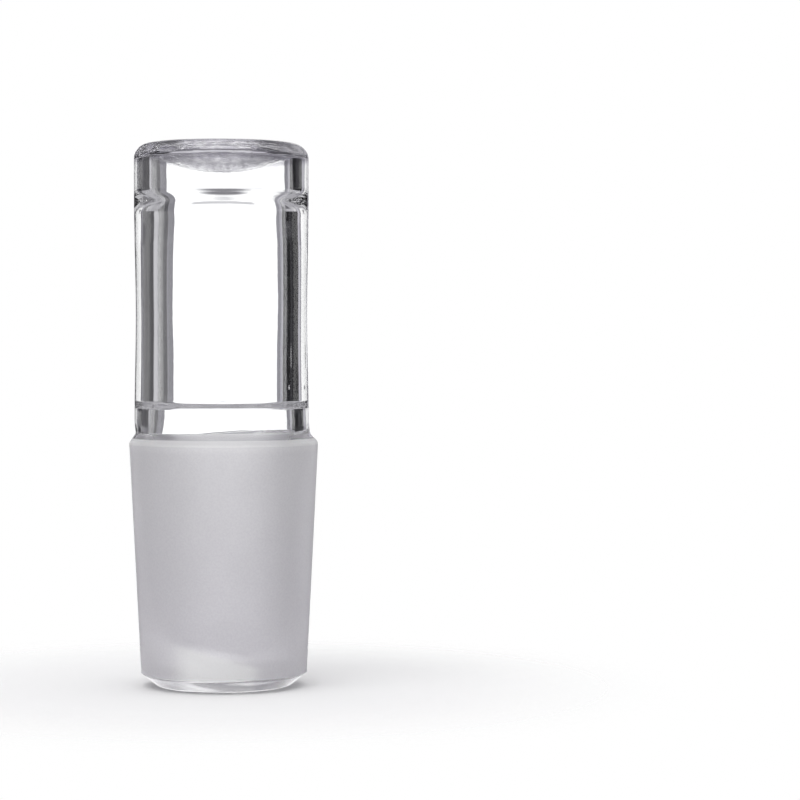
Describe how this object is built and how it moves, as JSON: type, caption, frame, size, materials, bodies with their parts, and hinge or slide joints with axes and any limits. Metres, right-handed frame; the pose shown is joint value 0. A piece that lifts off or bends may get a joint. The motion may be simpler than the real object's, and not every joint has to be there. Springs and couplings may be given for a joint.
{
  "type": "glass stopper",
  "caption": "Hollow clear-glass stopper with a frosted tapered plug, a low shoulder and a flat-topped round handle, for closing the ground neck of a flask.",
  "frame": {"origin": "centre of the flat foot of the sealed tip, on the axis of the ground cone", "axes": "+Z along the axis, from the narrow tip up to the flat top of the handle; the hollow sits a little towards -X and its floor is lowest towards +X"},
  "size_m": [0.024, 0.024, 0.069],
  "materials": {
    "clear_glass": "fire-polished clear glass on the handle, shoulder and tip; fine matt grinding on the tapered plug"
  },
  "bodies": {
    "root": {"glass_stopper": "clear_glass"}
  },
  "joints": []
}
